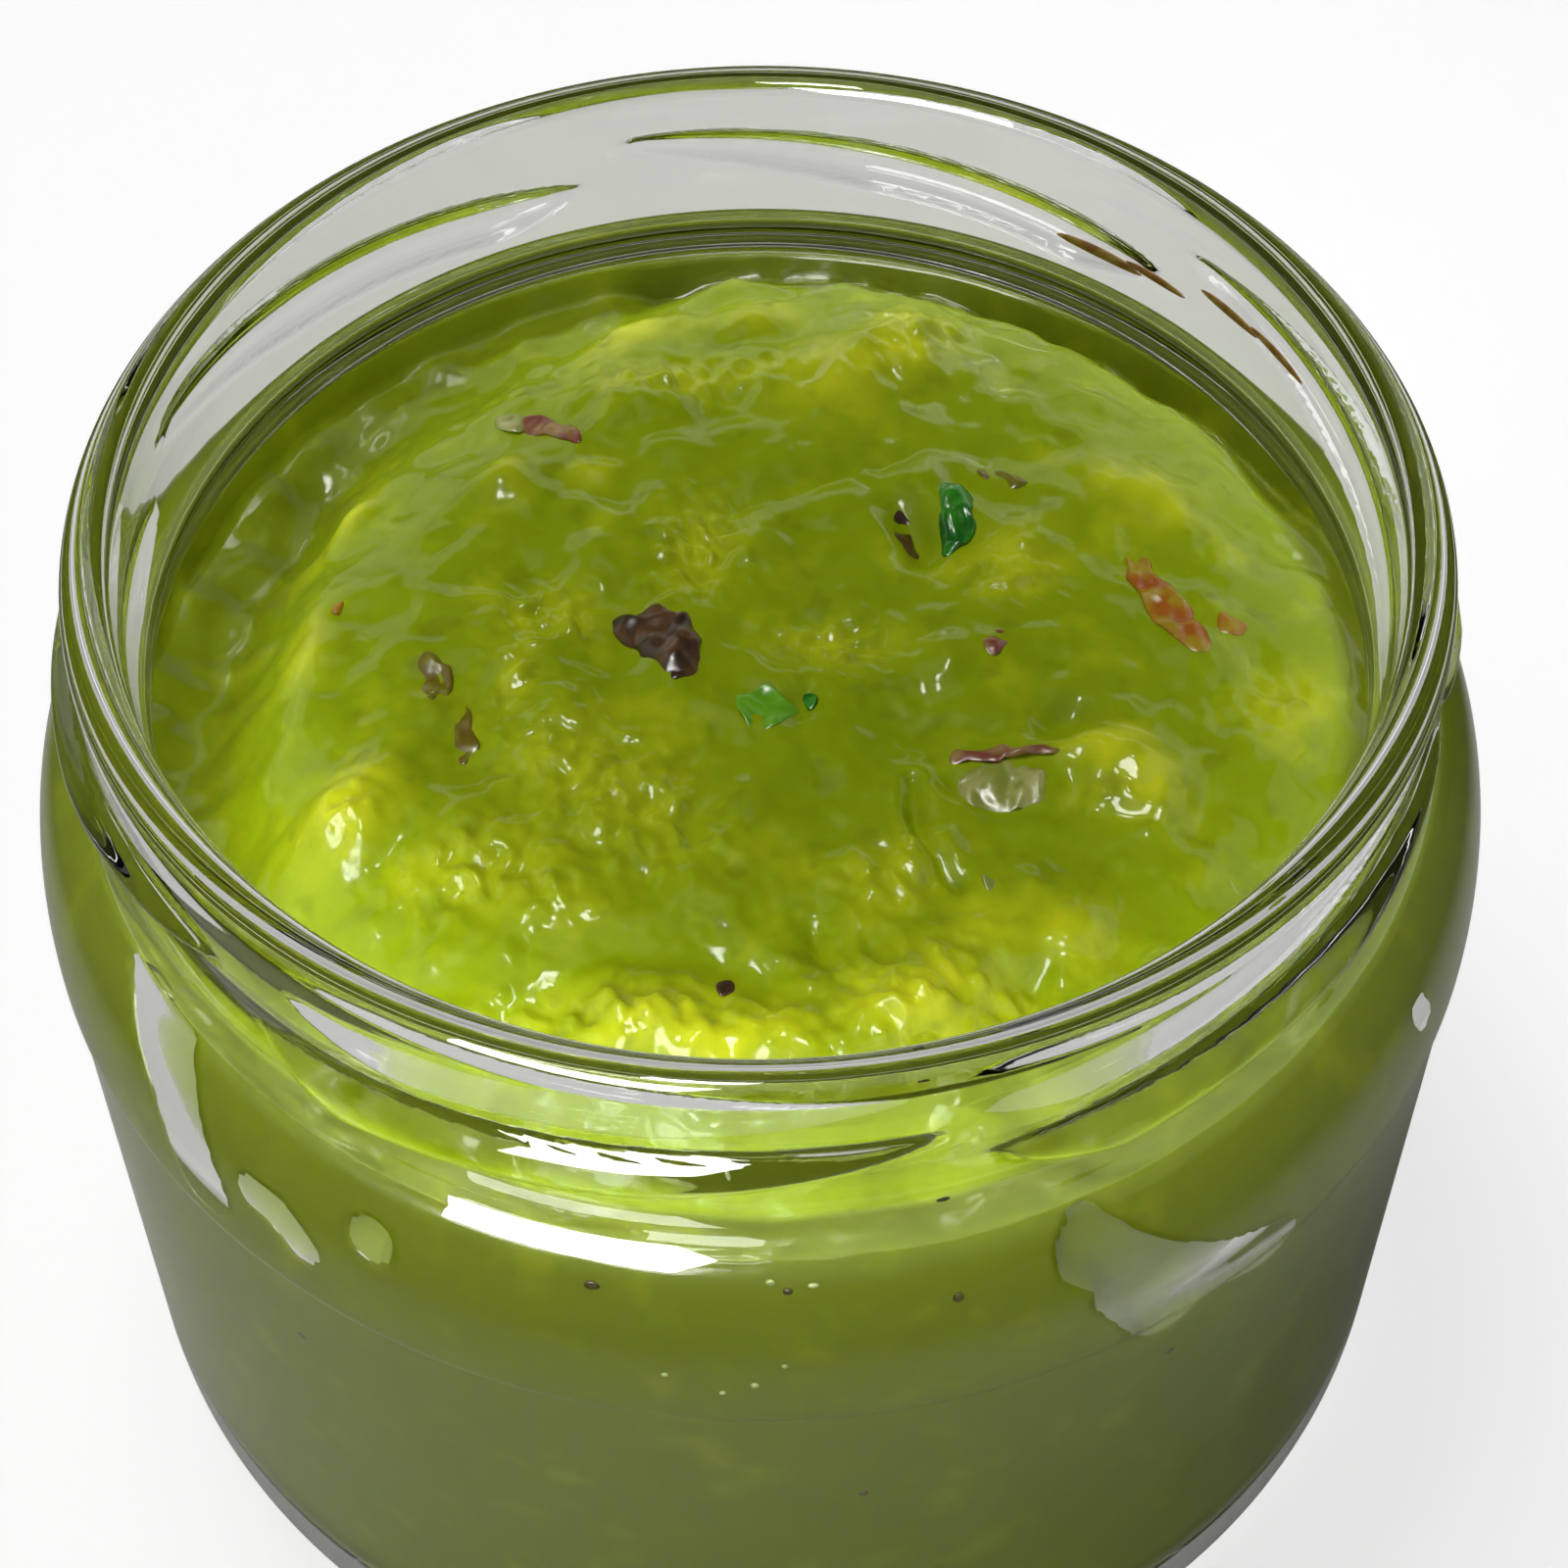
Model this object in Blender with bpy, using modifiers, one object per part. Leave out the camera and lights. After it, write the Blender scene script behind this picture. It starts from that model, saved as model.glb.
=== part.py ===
"""A squat glass jar with a wide mouth and six lid lugs, filled with guacamole.

Metres, +Z up. The origin is the middle of the ring that the jar stands on.
The jar is one glass body. The guacamole is one solid that fills it up to an uneven mound
below the lip, and the space between the mound and the lip is open.
"""

import math

import bmesh
import bpy

# The jar, outside
HEIGHT = 0.070
LIP_RADIUS = 0.0385  # outside of the lip and of the neck, an 82 mm twist-off finish
LIP_ROUND = 0.0014
NECK_HEIGHT = 0.0130  # from the lip down to the crown of the shoulder's round
SHOULDER_RADIUS = 0.0432  # the widest place, at the bottom of the shoulder
SHOULDER_HEIGHT = 0.0112  # from the crown down to there
SHOULDER_MEET = math.radians(16)  # where the hollow under the neck runs into the round
WALL_RADIUS = 0.0429  # the upright wall, stepped in a little below the shoulder
WALL_STEP_HEIGHT = 0.0008
HEEL_ROUND = 0.0065
BEARING_INNER_RADIUS = 0.0310  # the ring that the jar stands on, from here to the heel
PUSH_UP = 0.0015  # the base rises this far inside that ring

# The jar, inside
MOUTH_RADIUS = 0.0357  # the bore at the lip
BORE_FOOT_RADIUS = 0.0350  # and where it is narrowest, above its flare into the shoulder
INNER_CROWN_RADIUS = 0.0365
INNER_CROWN_DROP = 0.0020  # the inner round's crown, below the outer one
INNER_MEET = math.radians(14)
WALL_THICKNESS = 0.0026
BASE_THICKNESS = 0.0040
INNER_HEEL_ROUND = 0.0055

# The lid lugs: short slanted ribs, each with its ends tapered into the neck
LUG_COUNT = 6
LUG_ARC = math.radians(54.5)
LUG_FIRST_END = math.radians(-76.5)  # the high end of the first lug, with -90 degrees at the front
LUG_HIGH = 0.0055  # depth of the middle line below the lip at the high end
LUG_LOW = 0.0090  # and at the low end
LUG_RADIUS = 0.0018
LUG_END_RADIUS = 0.0006
LUG_PROUD = 0.0016
LUG_POINTS = 9

# The guacamole
FIT_GAP = 0.0003  # kept between the food and the glass all round
FILL_DEPTH = 0.0160  # the surface lies this far below the lip where it meets the glass
MOUND_HEIGHT = 0.0052  # the middle of the surface above that edge
TROUGH_DEPTH = 0.0030  # the hollow along the left side
TROUGH_RADIUS = 0.0270
TROUGH_WIDTH = 0.0055
TROUGH_AT = math.radians(175)
TROUGH_SPREAD = math.radians(48)
GROOVE_DEPTH = 0.0035  # the narrow gap along the back right, beside the glass
GROOVE_RADIUS = 0.0352
GROOVE_WIDTH = 0.0016
GROOVE_AT = math.radians(55)
GROOVE_SPREAD = math.radians(34)
LUMPS = (  # place as angle and radius, height, width
    (math.radians(72), 0.0225, 0.0016, 0.0060),
    (math.radians(112), 0.0240, 0.0010, 0.0050),
    (math.radians(205), 0.0200, 0.0012, 0.0045),
    (math.radians(275), 0.0280, 0.0018, 0.0060),
    (math.radians(305), 0.0200, 0.0012, 0.0045),
    (math.radians(345), 0.0215, 0.0014, 0.0050),
    (math.radians(20), 0.0100, -0.0010, 0.0050),
)

SIDES = 64
TOP_RINGS = 15
ARC_STEPS = 5
SHOULDER_STEPS = 6
HOLLOW_STEPS = 2

LIP_TOP = HEIGHT
SHOULDER_CROWN = HEIGHT - NECK_HEIGHT
SHOULDER_FOOT = SHOULDER_CROWN - SHOULDER_HEIGHT
FILL_LEVEL = HEIGHT - FILL_DEPTH


def arc(centre, radius, start, end, steps=ARC_STEPS):
    """Points of a round stretch of a profile, as (radius, height), from angle to angle in degrees."""
    turns = [math.radians(start + (end - start) * step / steps) for step in range(steps + 1)]
    return [(centre[0] + radius * math.cos(t), centre[1] + radius * math.sin(t)) for t in turns]


def neck_to_wall(neck, crown, foot, meet):
    """A neck that flares through a hollow into the full round of the shoulder.

    The round is a quarter of an ellipse from the crown to the foot, and the hollow is the arc
    that touches both the neck and that ellipse, at the turn called meet.
    """
    out = foot[0] - crown[0]
    drop = crown[1] - foot[1]
    turns = [meet + (math.pi / 2 - meet) * step / SHOULDER_STEPS for step in range(SHOULDER_STEPS + 1)]
    rounded = [(crown[0] + out * math.sin(t), foot[1] + drop * math.cos(t)) for t in turns]
    slope = math.atan2(math.cos(meet) / drop, math.sin(meet) / out)
    start = rounded[0]
    hollow = (start[0] - neck) / (1 - math.cos(slope))
    centre = (neck + hollow, start[1] + hollow * math.sin(slope))
    flare = arc(centre, hollow, 180, 180 + math.degrees(slope), HOLLOW_STEPS)
    return flare[:-1] + rounded


def outer_side():
    """The outside of the jar from the lip down to the middle of the base."""
    neck = LIP_RADIUS - LIP_ROUND
    points = arc((neck, LIP_TOP - LIP_ROUND), LIP_ROUND, 90, 0)
    crown = (LIP_RADIUS, SHOULDER_CROWN)
    points += neck_to_wall(LIP_RADIUS, crown, (SHOULDER_RADIUS, SHOULDER_FOOT), SHOULDER_MEET)
    points.append((WALL_RADIUS, SHOULDER_FOOT - WALL_STEP_HEIGHT))
    points += arc((WALL_RADIUS - HEEL_ROUND, HEEL_ROUND), HEEL_ROUND, 0, -90)
    points.append((BEARING_INNER_RADIUS, 0))
    points.append((BEARING_INNER_RADIUS - 2 * PUSH_UP, PUSH_UP))
    points.append((0, PUSH_UP))
    return points


def inner_side(inset=0.0):
    """The inside of the jar from the middle of its floor up to the mouth, or a line inset from it."""
    floor = PUSH_UP + BASE_THICKNESS + inset
    wall = WALL_RADIUS - WALL_THICKNESS - inset
    heel = INNER_HEEL_ROUND
    points = [(0, floor)]
    points += arc((wall - heel, floor + heel), heel, -90, 0)
    crown = (INNER_CROWN_RADIUS - inset, SHOULDER_CROWN - INNER_CROWN_DROP)
    flare = neck_to_wall(BORE_FOOT_RADIUS - inset, crown, (wall, SHOULDER_FOOT), INNER_MEET)
    points += reversed(flare)
    return points


def jar_profile():
    """The whole glass wall, from the middle of the floor over the lip to the middle of the base."""
    mouth_edge = arc((MOUTH_RADIUS + LIP_ROUND, LIP_TOP - LIP_ROUND), LIP_ROUND, 180, 90)
    return inner_side() + mouth_edge + outer_side()


def fill_edge():
    """How far out the surface of the guacamole reaches, at the level where it meets the glass."""
    side = inner_side(FIT_GAP)
    for (low_r, low_z), (high_r, high_z) in zip(side, side[1:]):
        if low_z < FILL_LEVEL <= high_z:
            return low_r + (high_r - low_r) * (FILL_LEVEL - low_z) / (high_z - low_z)
    raise ValueError("the fill level lies outside the jar")


def fill_profile(edge):
    """The guacamole from the middle of its surface, out to the glass, down and back in."""
    turns = [math.pi / 2 * ring / TOP_RINGS for ring in range(TOP_RINGS + 1)]
    surface = [(edge * math.sin(turn), FILL_LEVEL) for turn in turns]
    side = [point for point in inner_side(FIT_GAP) if point[1] < FILL_LEVEL]
    return surface + side[::-1]


def turned(name, profile, collection):
    """A body turned round the Z axis from a profile that starts and ends on that axis."""
    mesh = bpy.data.meshes.new(name)
    edges = [(i, i + 1) for i in range(len(profile) - 1)]
    mesh.from_pydata([(r, 0, z) for r, z in profile], edges, [])
    body = bpy.data.objects.new(name, mesh)
    collection.objects.link(body)
    screw = body.modifiers.new("Turn", "SCREW")
    screw.steps = screw.render_steps = SIDES
    screw.use_merge_vertices = True
    screw.merge_threshold = 0.00001
    screw.use_smooth_shade = True
    return body


def frozen(obj):
    """Turns the object, with its modifiers, into a plain mesh."""
    evaluated = obj.evaluated_get(bpy.context.evaluated_depsgraph_get())
    mesh = bpy.data.meshes.new_from_object(evaluated)
    obj.modifiers.clear()
    obj.data = mesh
    return obj


def lug_cutter(index, collection):
    """One lid lug: a tapered rib along a rising stretch of the neck, made a closed mesh to join."""
    curve = bpy.data.curves.new(f"lug_{index}", "CURVE")
    curve.dimensions = "3D"
    curve.bevel_depth = LUG_RADIUS
    curve.bevel_resolution = 2
    curve.use_fill_caps = True
    spline = curve.splines.new("POLY")
    spline.points.add(LUG_POINTS - 1)
    middle_radius = LIP_RADIUS + LUG_PROUD - LUG_RADIUS
    high_end = LUG_FIRST_END + index * math.tau / LUG_COUNT
    for step, point in enumerate(spline.points):
        along = step / (LUG_POINTS - 1)
        angle = high_end - LUG_ARC * (1 - along)
        swell = math.sin(math.pi * along) ** 0.5
        radius = LUG_END_RADIUS + (LUG_RADIUS - LUG_END_RADIUS) * swell
        reach = middle_radius - (LUG_RADIUS - radius)
        depth = LUG_LOW + (LUG_HIGH - LUG_LOW) * along
        point.co = (reach * math.cos(angle), reach * math.sin(angle), LIP_TOP - depth, 1)
        point.radius = radius / LUG_RADIUS
    guide = bpy.data.objects.new(f"lug_guide_{index}", curve)
    collection.objects.link(guide)
    bpy.context.view_layer.update()
    evaluated = guide.evaluated_get(bpy.context.evaluated_depsgraph_get())
    mesh = bpy.data.meshes.new_from_object(evaluated)
    lug = bpy.data.objects.new(f"lug_{index}", mesh)
    lug.matrix_world = guide.matrix_world
    bpy.data.objects.remove(guide)
    weld(mesh)
    collection.objects.link(lug)
    lug.hide_render = True
    lug.display_type = "WIRE"
    return lug


def weld(mesh):
    """Joins the loose caps of a mesh that was a curve to its sides."""
    edit = bmesh.new()
    edit.from_mesh(mesh)
    bmesh.ops.remove_doubles(edit, verts=edit.verts, dist=0.00001)
    bmesh.ops.recalc_face_normals(edit, faces=edit.faces)
    edit.to_mesh(mesh)
    edit.free()


def angle_between(a, b):
    """The smaller angle between two directions."""
    return abs((a - b + math.pi) % math.tau - math.pi)


def bell(distance, width):
    """1 at no distance, falling softly to 0 past two widths."""
    return math.exp(-((distance / width) ** 2))


def surface_rise(x, y, edge):
    """How far the surface of the guacamole lies above its edge at the glass."""
    radius = math.hypot(x, y)
    angle = math.atan2(y, x)
    rise = MOUND_HEIGHT * (1 - (radius / edge) ** 4)
    trough = bell(radius - TROUGH_RADIUS, TROUGH_WIDTH)
    rise -= TROUGH_DEPTH * trough * bell(angle_between(angle, TROUGH_AT), TROUGH_SPREAD)
    groove = bell(radius - GROOVE_RADIUS, GROOVE_WIDTH)
    rise -= GROOVE_DEPTH * groove * bell(angle_between(angle, GROOVE_AT), GROOVE_SPREAD)
    for turn, reach, height, width in LUMPS:
        away = math.hypot(x - reach * math.cos(turn), y - reach * math.sin(turn))
        rise += height * bell(away, width)
    return rise * (1 - (radius / edge) ** 16)


def material(name, colour, roughness, transmission=0.0):
    """A plain finish. Neither the glass nor the food is metallic."""
    finish = bpy.data.materials.new(name)
    finish.use_nodes = True
    shader = finish.node_tree.nodes["Principled BSDF"]
    shader.inputs["Base Color"].default_value = (*colour, 1)
    shader.inputs["Metallic"].default_value = 0
    shader.inputs["Roughness"].default_value = roughness
    shader.inputs["Transmission Weight"].default_value = transmission
    return finish


def build_jar(parts, cutters):
    jar = turned("jar", jar_profile(), parts)
    for index in range(LUG_COUNT):
        join = jar.modifiers.new(f"Lug {index + 1}", "BOOLEAN")
        join.operation = "UNION"
        join.solver = "EXACT"
        join.object = lug_cutter(index, cutters)
    jar.data.materials.append(material("clear_glass", (0.93, 0.96, 0.94), 0.02, transmission=1))
    return jar


def build_guacamole(parts):
    edge = fill_edge()
    food = frozen(turned("guacamole", fill_profile(edge), parts))
    for vertex in food.data.vertices:
        x, y, z = vertex.co
        if abs(z - FILL_LEVEL) < FIT_GAP / 10:
            vertex.co.z += surface_rise(x, y, edge)
    food.data.materials.clear()
    food.data.materials.append(material("guacamole", (0.25, 0.31, 0.01), 0.35))
    return food


def main():
    for obj in list(bpy.data.objects):
        bpy.data.objects.remove(obj)
    parts = bpy.data.collections.new("Jar of guacamole")
    cutters = bpy.data.collections.new("Cutters")
    cutters.hide_render = True
    for collection in (parts, cutters):
        bpy.context.scene.collection.children.link(collection)
    build_jar(parts, cutters)
    build_guacamole(parts)


main()
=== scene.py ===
import math

import bmesh
import bpy
import numpy as np
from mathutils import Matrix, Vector


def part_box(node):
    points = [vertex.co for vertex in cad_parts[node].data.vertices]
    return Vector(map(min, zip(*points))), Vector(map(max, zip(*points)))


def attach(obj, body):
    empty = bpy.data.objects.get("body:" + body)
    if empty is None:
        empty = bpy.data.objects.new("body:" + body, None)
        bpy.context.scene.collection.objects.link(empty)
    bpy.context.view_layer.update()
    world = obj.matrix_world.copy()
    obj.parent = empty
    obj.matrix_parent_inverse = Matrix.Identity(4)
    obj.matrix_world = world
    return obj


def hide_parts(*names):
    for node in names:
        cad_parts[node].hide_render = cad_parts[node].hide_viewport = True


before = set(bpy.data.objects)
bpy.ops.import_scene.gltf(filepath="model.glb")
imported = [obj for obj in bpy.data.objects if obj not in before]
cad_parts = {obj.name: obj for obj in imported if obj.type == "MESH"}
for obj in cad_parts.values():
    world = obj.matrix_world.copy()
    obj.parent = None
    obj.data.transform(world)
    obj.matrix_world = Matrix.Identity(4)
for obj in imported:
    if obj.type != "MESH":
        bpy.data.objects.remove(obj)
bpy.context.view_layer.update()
jar_low, jar_high = (Vector(corner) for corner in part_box("jar"))
dip_low, dip_high = (Vector(corner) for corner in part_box("guacamole"))


# The view. A studio picture taken from above the front of the jar, with a longish lens from
# close by, so that the mouth looks wide and the base narrow. The aim is just under the lip.
LENS_MM = 74.25
SENSOR_MM = 36.0
PITCH_DOWN = math.radians(51.75)
CAMERA_FROM_LIP = Vector((0.0014, -0.1225, 0.1307))

camera_data = bpy.data.cameras.new("view")
camera_data.lens = LENS_MM
camera_data.sensor_width = SENSOR_MM
camera_data.clip_start = 0.005
camera = bpy.data.objects.new("view", camera_data)
camera.location = Vector((0, 0, jar_high.z)) + CAMERA_FROM_LIP
camera.rotation_euler = (math.pi / 2 - PITCH_DOWN, 0, 0)
bpy.context.scene.collection.objects.link(camera)
bpy.context.scene.camera = camera
bpy.context.scene.view_settings.view_transform = "Standard"


class Graph:
    """A node tree, with one method that adds any node and gives one of its outputs back."""

    def __init__(self, tree):
        self.tree = tree

    def node(self, kind, settings=None, inputs=None, out=0):
        made = self.tree.nodes.new(kind)
        for name, value in (settings or {}).items():
            if name == "stops":
                ramp = made.color_ramp
                while len(ramp.elements) < len(value):
                    ramp.elements.new(0.5)
                for element, (place, colour) in zip(ramp.elements, value):
                    element.position = place
                    element.color = colour
            else:
                setattr(made, name, value)
        for slot, value in (inputs or {}).items():
            self.join(value, made.inputs[slot])
        return Wire(self, made.outputs[out])

    def join(self, value, socket):
        if isinstance(value, Wire):
            self.tree.links.new(value.socket, socket)
        else:
            socket.default_value = value


class Wire:
    """A socket, so that sums, products and powers of it can be written as Python."""

    def __init__(self, graph, socket):
        self.graph = graph
        self.socket = socket

    def other(self, name):
        return Wire(self.graph, self.socket.node.outputs[name])

    def maths(self, operation, first, second=None, clamp=False):
        inputs = {0: first} if second is None else {0: first, 1: second}
        settings = {"operation": operation, "use_clamp": clamp}
        return self.graph.node("ShaderNodeMath", settings, inputs)

    def __add__(self, value):
        return self.maths("ADD", self, value)

    def __sub__(self, value):
        return self.maths("SUBTRACT", self, value)

    def __rsub__(self, value):
        return self.maths("SUBTRACT", value, self)

    def __mul__(self, value):
        return self.maths("MULTIPLY", self, value)

    def __truediv__(self, value):
        return self.maths("DIVIDE", self, value)

    def __rtruediv__(self, value):
        return self.maths("DIVIDE", value, self)

    def __pow__(self, value):
        return self.maths("POWER", self, value)

    def __mod__(self, value):
        return self.maths("FLOORED_MODULO", self, value)

    __radd__ = __add__
    __rmul__ = __mul__

    def clamped(self):
        return self.maths("ADD", self, 0.0, clamp=True)

    def smooth(self, low, high):
        """0 below low, 1 above high, and a soft step between them."""
        settings = {"interpolation_type": "SMOOTHSTEP"}
        inputs = {"Value": self, "From Min": low, "From Max": high}
        return self.graph.node("ShaderNodeMapRange", settings, inputs)


def new_material(name):
    """A material with an empty tree, its graph, and its output's surface socket."""
    made = bpy.data.materials.new(name)
    made.use_nodes = True
    made.node_tree.nodes.clear()
    graph = Graph(made.node_tree)
    output = made.node_tree.nodes.new("ShaderNodeOutputMaterial")
    return made, graph, output.inputs["Surface"]


# The table. A plain top, coloured pale round the jar and dark beyond, which the glass mirrors: a painted pool of
# light for the lamps' light that falls off away from the jar. The camera sees all of it as white, with the jar's
# soft shadow.
TABLE_SIZE = 3.0
PAINTED_POOL_PALE = (0.60, 0.585, 0.57, 1)
PAINTED_FALLOFF_DARK = (0.10, 0.10, 0.10, 1)
TABLE_SEEN = (0.45, 0.45, 0.45, 1)
PAINTED_POOL_EDGE = (0.085, 0.135)  # the painted pool of light ends softly between these distances from the jar

table_mesh = bpy.data.meshes.new("table")
half = TABLE_SIZE / 2
corners = [(-half, -half, 0), (half, -half, 0), (half, half, 0), (-half, half, 0)]
table_mesh.from_pydata(corners, [], [(0, 1, 2, 3)])
table = bpy.data.objects.new("table", table_mesh)
bpy.context.scene.collection.objects.link(table)
table_finish, graph, surface = new_material("table_top")
seen = graph.node("ShaderNodeLightPath", out="Is Camera Ray")
spot = graph.node("ShaderNodeTexCoord", out="Object")
reach = graph.node("ShaderNodeVectorMath", {"operation": "LENGTH"}, {0: spot}, out="Value")
through = seen.other("Is Transmission Ray")
# painted pool of light: what the glass mirrors and what lights the jar from below is pale round the jar and dark
# beyond; rays through the glass see it pale everywhere
painted_pool = graph.node(
    "ShaderNodeMix",
    {"data_type": "RGBA"},
    {"Factor": reach.smooth(*PAINTED_POOL_EDGE) * (1 - through), 6: PAINTED_POOL_PALE, 7: PAINTED_FALLOFF_DARK},
    out=2,
)
colour = graph.node(
    "ShaderNodeMix", {"data_type": "RGBA"}, {"Factor": seen, 6: painted_pool, 7: TABLE_SEEN}, out=2
)
matt = graph.node("ShaderNodeBsdfDiffuse", inputs={"Color": colour, "Roughness": 0.5})
glow = graph.node("ShaderNodeEmission", inputs={"Color": (1, 1, 1, 1), "Strength": 0.72})
dark = graph.node("ShaderNodeEmission", inputs={"Color": (0, 0, 0, 1), "Strength": 0.0})
pale = (seen + through * 0.36).clamped()
white = graph.node("ShaderNodeMixShader", inputs={0: pale, 1: dark, 2: glow})
graph.join(graph.node("ShaderNodeAddShader", inputs={0: matt, 1: white}), surface)
table_mesh.materials.append(table_finish)


# The light. A soft box over the back left that lights matt surfaces only, a small ceiling light
# for the wet glints, a window far off at the front left that shows on the lip and the shoulder,
# its weak fill, and a dim room.
def area_lamp(name, azimuth, elevation, distance, width, height, watts):
    """A white lamp that faces the jar. Azimuth 0 is the front, and it grows to the right."""
    data = bpy.data.lights.new(name, "AREA")
    data.shape = "RECTANGLE"
    data.size = width
    data.size_y = height
    data.energy = watts
    lamp = bpy.data.objects.new(name, data)
    turn = math.radians(azimuth)
    rise = math.radians(elevation)
    way = Vector((math.sin(turn) * math.cos(rise), -math.cos(turn) * math.cos(rise), math.sin(rise)))
    lamp.location = Vector((0, 0, jar_high.z)) + way * distance
    lamp.rotation_euler = way.to_track_quat("Z", "Y").to_euler()
    bpy.context.scene.collection.objects.link(lamp)
    return lamp


area_lamp("side_box", -125, 74, 0.36, 0.16, 0.16, 0.86).visible_glossy = False
window = area_lamp("window", -27, 38, 1.2, 0.62, 0.50, 26.0)
window.visible_diffuse = False
area_lamp("ceiling", -15, 70, 0.9, 0.14, 0.14, 2.2).visible_diffuse = False
area_lamp("window_fill", -27, 38, 1.2, 0.62, 0.50, 0.7).visible_glossy = False

ROOM_LIGHT = 0.12
ROOM_MIRRORED = 0.03
ROOM_WHITE = 1.0
world = bpy.data.worlds.new("studio")
bpy.context.scene.world = world
world.use_nodes = True
world.node_tree.nodes.clear()
graph = Graph(world.node_tree)
seen = graph.node("ShaderNodeLightPath", out="Is Camera Ray")
white = (seen + seen.other("Is Transmission Ray")).clamped()
mirrored = seen.other("Is Glossy Ray") * (1 - white)
strength = ROOM_LIGHT + white * (ROOM_WHITE - ROOM_LIGHT) + mirrored * (ROOM_MIRRORED - ROOM_LIGHT)
background = graph.node(
    "ShaderNodeBackground", inputs={"Color": (1, 1, 1, 1), "Strength": strength}
)
world_output = world.node_tree.nodes.new("ShaderNodeOutputWorld")
graph.join(background, world_output.inputs["Surface"])


# The jar. One piece of clear pressed glass with a round lip, six slanted lid lugs, a full
# shoulder over a wall that is stepped in a little, and a ring to stand on round a raised base.
LIP_RADIUS = 0.0385
LIP_ROUND = 0.0014
NECK_HEIGHT = 0.0130
SHOULDER_RADIUS = jar_high.x
SHOULDER_HEIGHT = 0.0112
WALL_RADIUS = 0.0429
WALL_STEP_HEIGHT = 0.0005
SHOULDER_MEET = math.radians(16)
HEEL_ROUND = 0.0065
BEARING_INNER_RADIUS = 0.0310
PUSH_UP = 0.0015
MOUTH_RADIUS = 0.0357
BORE_FOOT_RADIUS = 0.0350
INNER_CROWN_RADIUS = 0.0365
INNER_CROWN_DROP = 0.0020
INNER_MEET = math.radians(14)
WALL_THICKNESS = 0.0026
BASE_THICKNESS = 0.0040
INNER_HEEL_ROUND = 0.0055
LIP_TOP = jar_high.z
SHOULDER_CROWN = LIP_TOP - NECK_HEIGHT
SHOULDER_FOOT = SHOULDER_CROWN - SHOULDER_HEIGHT
JAR_SIDES = 320
SMALL_STEP = 0.00022
LARGE_STEP = 0.0016


def arc(centre, radius, start, end, steps=14):
    """Points of a round stretch of a profile, as (radius, height), from angle to angle in degrees."""
    turns = [math.radians(start + (end - start) * step / steps) for step in range(steps + 1)]
    return [(centre[0] + radius * math.cos(t), centre[1] + radius * math.sin(t)) for t in turns]


def straight(start, end, spacing):
    """Points from start up to but not including end."""
    steps = max(1, round(math.dist(start, end) / spacing))
    return [
        (start[0] + (end[0] - start[0]) * step / steps, start[1] + (end[1] - start[1]) * step / steps)
        for step in range(steps)
    ]


def neck_to_wall(neck, crown, foot, meet, steps=(12, 26)):
    """A neck that flares through a hollow into the full round of the shoulder.

    The round is a quarter of an ellipse from the crown to the foot, and the hollow is the arc
    that touches both the neck and that ellipse, at the turn called meet.
    """
    out, drop = foot[0] - crown[0], crown[1] - foot[1]
    turns = [meet + (math.pi / 2 - meet) * step / steps[1] for step in range(steps[1] + 1)]
    rounded = [(crown[0] + out * math.sin(t), foot[1] + drop * math.cos(t)) for t in turns]
    slope = math.atan2(math.cos(meet) / drop, math.sin(meet) / out)
    hollow = (rounded[0][0] - neck) / (1 - math.cos(slope))
    centre = (neck + hollow, rounded[0][1] + hollow * math.sin(slope))
    return arc(centre, hollow, 180, 180 + math.degrees(slope), steps[0])[:-1] + rounded


def inner_wall():
    """The inside of the glass, from the middle of the floor up to the narrowest place."""
    floor = PUSH_UP + BASE_THICKNESS
    wall = WALL_RADIUS - WALL_THICKNESS
    heel = INNER_HEEL_ROUND
    points = straight((0.0, floor), (wall - heel, floor), LARGE_STEP)
    points += arc((wall - heel, floor + heel), heel, -90, 0)
    points += straight((wall, floor + heel + LARGE_STEP), (wall, SHOULDER_FOOT), LARGE_STEP)
    crown = (INNER_CROWN_RADIUS, SHOULDER_CROWN - INNER_CROWN_DROP)
    points += reversed(neck_to_wall(BORE_FOOT_RADIUS, crown, (wall, SHOULDER_FOOT), INNER_MEET))
    return points


def outer_wall():
    """The outside, from the crest of the lip down to the middle of the base."""
    points = arc((LIP_RADIUS - LIP_ROUND, LIP_TOP - LIP_ROUND), LIP_ROUND, 90, 0)
    crown = (LIP_RADIUS, SHOULDER_CROWN)
    foot = (SHOULDER_RADIUS, SHOULDER_FOOT)
    flare = neck_to_wall(LIP_RADIUS, crown, foot, SHOULDER_MEET, (16, 30))
    points += straight((LIP_RADIUS, LIP_TOP - LIP_ROUND - SMALL_STEP), flare[0], SMALL_STEP)
    points += flare
    for share in (0.25, 0.5, 0.75, 1.0):
        swing = (1 - math.cos(math.pi * share)) / 2
        reach = SHOULDER_RADIUS + (WALL_RADIUS - SHOULDER_RADIUS) * swing
        points.append((reach, SHOULDER_FOOT - WALL_STEP_HEIGHT * share))
    wall_top = SHOULDER_FOOT - WALL_STEP_HEIGHT - SMALL_STEP
    points += straight((WALL_RADIUS, wall_top), (WALL_RADIUS, HEEL_ROUND), LARGE_STEP)
    points += arc((WALL_RADIUS - HEEL_ROUND, HEEL_ROUND), HEEL_ROUND, 0, -90)
    points.append((BEARING_INNER_RADIUS, 0.0))
    points += straight((BEARING_INNER_RADIUS - 2 * PUSH_UP, PUSH_UP), (0.0, PUSH_UP), LARGE_STEP)
    points.append((0.0, PUSH_UP))
    return points


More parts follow.
